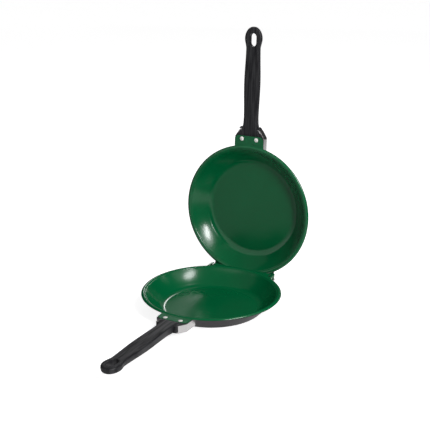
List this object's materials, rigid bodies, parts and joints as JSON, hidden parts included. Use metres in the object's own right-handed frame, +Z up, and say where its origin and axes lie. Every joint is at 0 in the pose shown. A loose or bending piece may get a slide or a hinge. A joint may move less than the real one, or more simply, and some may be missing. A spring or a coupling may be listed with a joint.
{
  "type": "double sided flip pan",
  "caption": "Two round shallow frying pans with a green lining, joined rim to rim by a hinge and standing open, each with its own long handle and hanging loop",
  "frame": {"origin": "centre of the lower pan's flat base, on the surface it stands on", "axes": "+Z up, +Y from the centre towards the hinge, -Y along the lower handle, +X along the hinge rod"},
  "size_m": [0.19, 0.3908, 0.3649],
  "materials": {
    "pan_outside": "dark grey heat-proof coat on pressed aluminium, satin",
    "green_coating": "green non-stick ceramic coating, satin",
    "black_steel": "black painted steel plate",
    "bright_steel": "bright plated steel",
    "rivet_aluminium": "plain aluminium rivets",
    "phenolic": "black phenolic moulding, satin",
    "brass": "plain brass"
  },
  "bodies": {
    "lower": {"lower_pan": "pan_outside", "lower_lining": "green_coating", "lower_saddle": "black_steel", "lower_strap": "bright_steel", "lower_tab_rivets": "rivet_aluminium", "lower_grip": "phenolic", "lower_screw": "bright_steel", "lower_spring_washer": "bright_steel", "lower_insert": "brass", "hinge_rod": "bright_steel", "hinge_rod_caps": "bright_steel"},
    "lid": {"upper_pan": "pan_outside", "upper_lining": "green_coating", "upper_saddle": "black_steel", "upper_strap": "bright_steel", "upper_tab_rivets": "rivet_aluminium", "upper_grip": "phenolic", "upper_screw": "bright_steel", "upper_spring_washer": "bright_steel", "upper_insert": "brass"}
  },
  "joints": [
    {"name": "lid_hinge", "type": "hinge", "parent": "lower", "child": "lid", "pos_m": [0, 0.0908, 0.017], "axis": [1, 0, 0], "range_deg": [0, 93.2]}
  ]
}
